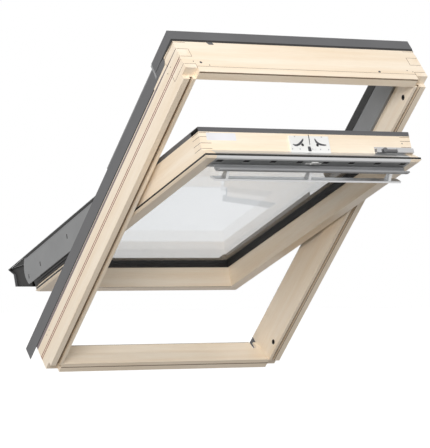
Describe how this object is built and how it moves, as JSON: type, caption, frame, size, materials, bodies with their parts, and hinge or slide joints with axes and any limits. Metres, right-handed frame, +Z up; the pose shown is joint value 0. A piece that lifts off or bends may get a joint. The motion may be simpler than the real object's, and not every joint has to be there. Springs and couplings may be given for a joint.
{
  "type": "centre pivot roof window",
  "caption": "Pine centre pivot roof window: leaning frame, and a double-glazed sash that turns about its middle, with a ventilation flap, handle bar and barrel bolt.",
  "frame": {"origin": "middle of the flat outer face of the right frame stile, 30 mm behind its room face", "axes": "+X to the right as seen from the room, +Y outward and level, +Z up; the frame leans back at a roof pitch of 45 degrees"},
  "size_m": [0.7824, 1.2252, 0.9498],
  "materials": {
    "pine": "clear-lacquered pine, fine straight grain",
    "grey_cladding": "grey lacquered aluminium sheet, satin",
    "seal": "black extruded seal",
    "glass": "clear float glass",
    "spacer": "dark warm-edge spacer",
    "aluminium": "satin anodised",
    "flap_grey": "grey lacquered aluminium, satin",
    "steel": "zinc-plated steel",
    "white_metal": "white lacquered pressed steel",
    "bush": "black moulded plastic"
  },
  "bodies": {
    "frame": {"frame_left_stile": "pine", "frame_right_stile": "pine", "frame_top_rail": "pine", "frame_bottom_rail": "pine", "frame_left_cladding": "grey_cladding", "frame_right_cladding": "grey_cladding", "frame_bottom_cladding": "grey_cladding", "head_casing": "grey_cladding", "upper_left_cover": "grey_cladding", "upper_right_cover": "grey_cladding", "upper_left_seal": "seal", "upper_right_seal": "seal", "left_hinge_plate": "steel", "right_hinge_plate": "steel", "striker_plate": "steel", "ventilation_bush": "bush", "cleaning_bush": "bush"},
    "sash": {"sash_left_stile": "pine", "sash_right_stile": "pine", "sash_top_rail": "pine", "sash_bottom_rail": "pine", "inner_pane": "glass", "outer_pane": "glass", "pane_spacer": "spacer", "glazing_gasket": "seal", "sash_top_cladding": "grey_cladding", "sash_left_cladding": "grey_cladding", "sash_right_cladding": "grey_cladding", "sash_bottom_cladding": "grey_cladding", "lower_left_cover": "grey_cladding", "lower_right_cover": "grey_cladding", "left_pivot_plate": "steel", "right_pivot_plate": "steel", "lock_casing": "white_metal", "lock_works": "bush", "bolt_plate": "steel", "vent_bar": "aluminium", "sash_gasket": "seal", "lower_seals": "seal", "nose_caps": "bush", "vent_grille": "flap_grey", "vent_filter": "bush", "flap_latch": "white_metal"},
    "vent_flap": {"vent_flap": "flap_grey", "handle_bar": "aluminium", "left_handle_arm": "aluminium", "middle_handle_arm": "aluminium", "right_handle_arm": "aluminium"},
    "barrel_bolt": {"barrel_bolt": "steel"}
  },
  "joints": [
    {"name": "sash_pivot", "type": "hinge", "parent": "frame", "child": "sash", "pos_m": [-0.39, 0.05798, 0.05798], "axis": [1, 0, 0], "range_deg": [-25, 140.3]},
    {"name": "vent_flap_hinge", "type": "hinge", "parent": "sash", "child": "vent_flap", "pos_m": [-0.39, -0.42154, 0.14685], "axis": [1, 0, 0], "range_deg": [-24, 0]},
    {"name": "bolt_slide", "type": "slide", "parent": "sash", "child": "barrel_bolt", "axis": [1, 0, 0], "range_m": [0, 0.02]}
  ]
}
